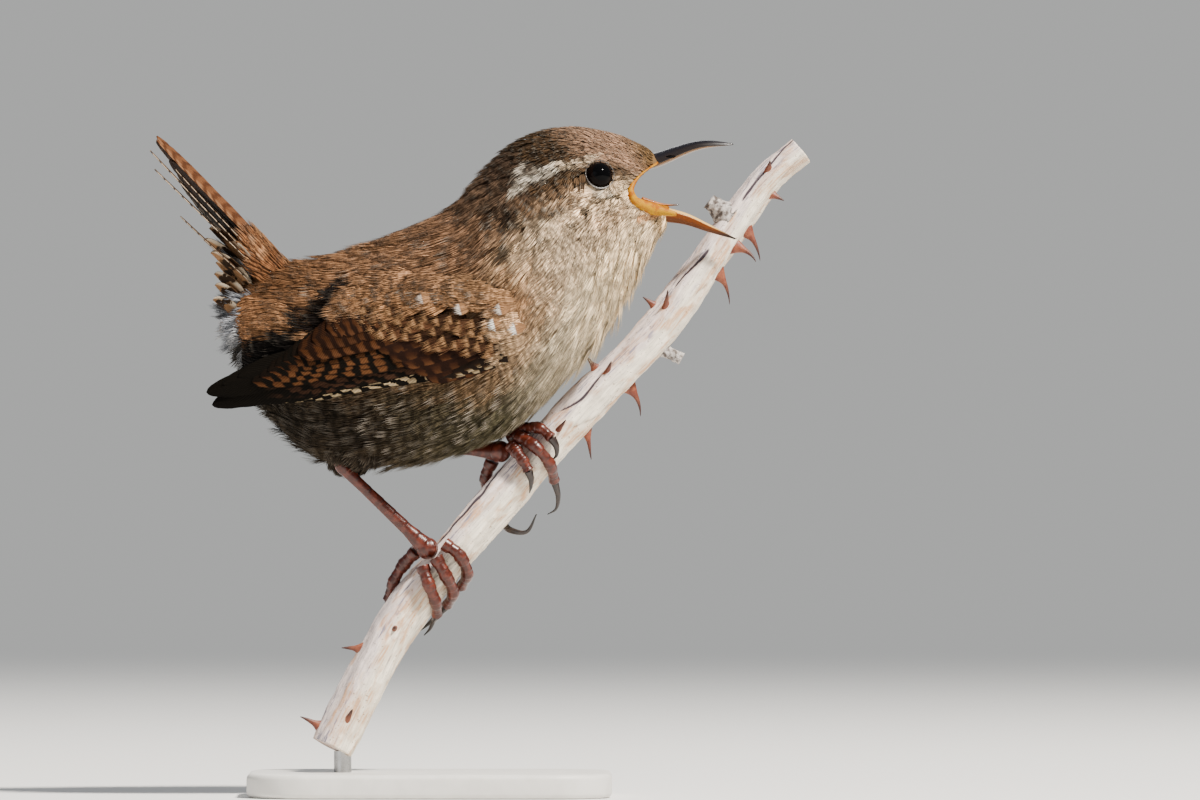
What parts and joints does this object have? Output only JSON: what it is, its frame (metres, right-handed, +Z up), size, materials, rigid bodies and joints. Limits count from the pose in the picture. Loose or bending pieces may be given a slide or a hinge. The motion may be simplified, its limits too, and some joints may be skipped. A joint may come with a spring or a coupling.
{
  "type": "perched songbird model",
  "caption": "Life-size singing wren with cocked tail and open bill, gripping a slanting thorny bramble stem held by a plain stand.",
  "frame": {"origin": "centre of the stand's underside", "axes": "+X the way the bird faces, +Y to the bird's left, +Z up"},
  "size_m": [0.0942, 0.0354, 0.0957],
  "materials": {
    "crown_feathers": "dark brown feathers, finely streaked",
    "breast_feathers": "pale buff feathers",
    "body_feathers": "warm brown feathers with fine wavy bars",
    "rump_feathers": "rufous feathers with fine dark bars",
    "belly_feathers": "greyish brown loose feathers",
    "wing_feathers": "rufous brown feathers barred black and buff",
    "tail_feathers": "rufous feathers with narrow dark bars",
    "eye": "black, glossy",
    "bill_horn": "dark horn with a pale cutting edge",
    "bill_pale": "pale horn, yellower at the base",
    "mouth": "moist orange yellow",
    "leg_skin": "reddish brown scaly skin",
    "claw_horn": "dark horn",
    "bark": "pale weathered bark with brown thorns",
    "stand_paint": "black paint, satin",
    "stand_steel": "satin steel"
  },
  "bodies": {
    "root": {"bill_lower": "bill_pale", "bill_upper": "bill_horn", "claw_left_1": "claw_horn", "claw_left_2": "claw_horn", "claw_left_3": "claw_horn", "claw_left_4": "claw_horn", "claw_right_1": "claw_horn", "claw_right_2": "claw_horn", "claw_right_3": "claw_horn", "claw_right_4": "claw_horn", "eye_left": "eye", "eye_right": "eye", "gape": "mouth", "head": "crown_feathers", "leg_left": "leg_skin", "leg_right": "leg_skin", "neck": "breast_feathers", "perch_stem": "bark", "rump": "rump_feathers", "stand_base": "stand_paint", "stand_rod": "stand_steel", "tail": "tail_feathers", "thigh_left": "belly_feathers", "thigh_right": "belly_feathers", "toe_left_1": "leg_skin", "toe_left_2": "leg_skin", "toe_left_3": "leg_skin", "toe_left_4": "leg_skin", "toe_right_1": "leg_skin", "toe_right_2": "leg_skin", "toe_right_3": "leg_skin", "toe_right_4": "leg_skin", "tongue": "mouth", "torso": "body_feathers", "wing_left": "wing_feathers", "wing_right": "wing_feathers"}
  },
  "joints": []
}
